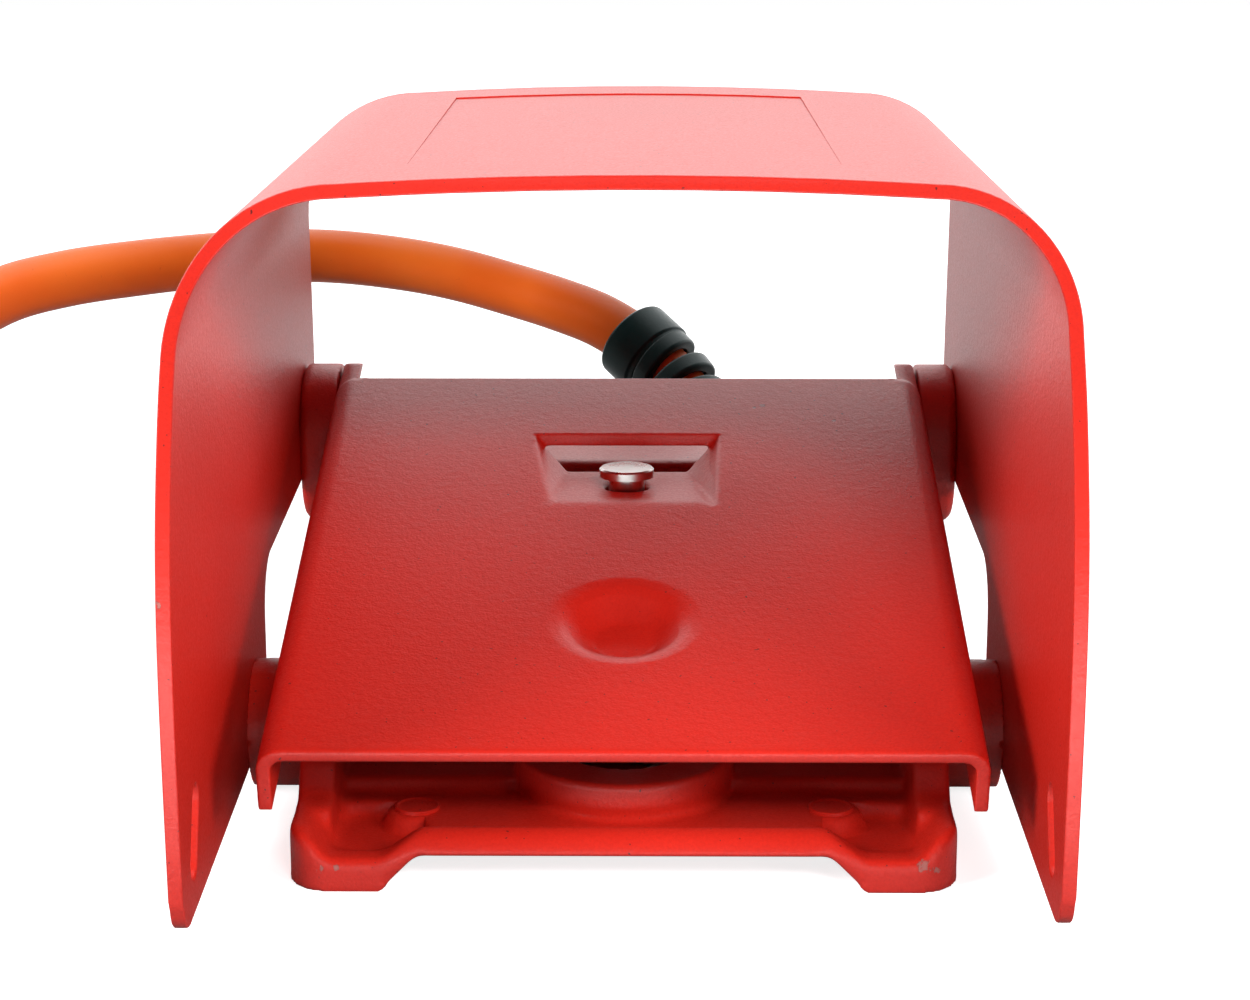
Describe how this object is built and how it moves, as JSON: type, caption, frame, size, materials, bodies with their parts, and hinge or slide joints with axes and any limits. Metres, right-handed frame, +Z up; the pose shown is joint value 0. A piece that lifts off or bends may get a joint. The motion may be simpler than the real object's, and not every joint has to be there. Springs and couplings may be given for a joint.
{
  "type": "foot switch",
  "caption": "Guarded industrial foot switch: sheet pedal under a bent hood on a cast base, with a release pin, a gland with a bend-protection spiral, and a cable.",
  "frame": {"origin": "on the floor, under the middle of the hood's width and depth", "axes": "+X to the right as seen from the front opening, +Y towards the cable entry at the rear, +Z up"},
  "size_m": [0.4541, 0.2994, 0.1386],
  "materials": {
    "paint": "glossy",
    "zinc_steel": "zinc plated",
    "bronze": "turned",
    "rubber": "matte",
    "moulding": "matte",
    "gland_plastic": "satin",
    "cable_sheath": "satin"
  },
  "bodies": {
    "base": {"base_housing": "paint", "bottom_cover": "zinc_steel", "cover_gasket": "rubber", "cover_screws": "zinc_steel", "floor_hole_plugs": "paint", "hood": "paint", "hood_screws_rear": "zinc_steel", "hood_screws_front": "zinc_steel", "hood_washers": "zinc_steel", "pivot_pins": "zinc_steel", "spring_seat": "zinc_steel", "pedal_spring": "zinc_steel", "plunger_guide": "bronze", "plunger_seal": "rubber", "contact_block": "moulding", "contact_block_screws": "zinc_steel", "terminal_screws": "bronze", "release_guide": "bronze", "release_spring": "zinc_steel", "latch_spring": "zinc_steel", "latch_keeper": "zinc_steel", "earth_screw": "bronze", "gland_body": "gland_plastic", "gland_washer": "rubber", "gland_seal": "rubber", "gland_nut": "gland_plastic", "cable_run": "cable_sheath", "cable_coil": "cable_sheath", "cable_tail": "cable_sheath", "connector_body": "zinc_steel", "connector_ring": "zinc_steel", "connector_insert": "moulding"},
    "pedal": {"pedal": "paint", "pivot_bushes": "bronze"},
    "plunger": {"plunger": "zinc_steel"},
    "release_pin": {"release_pin": "zinc_steel"},
    "latch_slide": {"latch_slide": "zinc_steel"}
  },
  "joints": [
    {"name": "pedal_hinge", "type": "hinge", "parent": "base", "child": "pedal", "pos_m": [0, 0.084, 0.0538], "axis": [1, 0, 0], "range_deg": [0, 5.5], "stiffness_Nm_per_rad": 8, "springref_deg": -17.19, "deforming": ["pedal_spring"]},
    {"name": "plunger_slide", "type": "slide", "parent": "base", "child": "plunger", "axis": [0, 0, -1], "range_m": [0, 0.0036]},
    {"name": "release_slide", "type": "slide", "parent": "base", "child": "release_pin", "axis": [0, 0, -1], "range_m": [0, 0.002], "stiffness_N_per_m": 800, "springref_m": -0.004, "deforming": ["release_spring"]},
    {"name": "latch_slide", "type": "slide", "parent": "base", "child": "latch_slide", "axis": [0, -1, 0], "range_m": [0, 0.0016], "deforming": ["latch_spring"]}
  ],
  "couplings": [
    {"joint": "plunger_slide", "follows": "pedal_hinge", "m_per_rad": 0.0359},
    {"joint": "latch_slide", "follows": "release_slide", "ratio": 0.75}
  ]
}
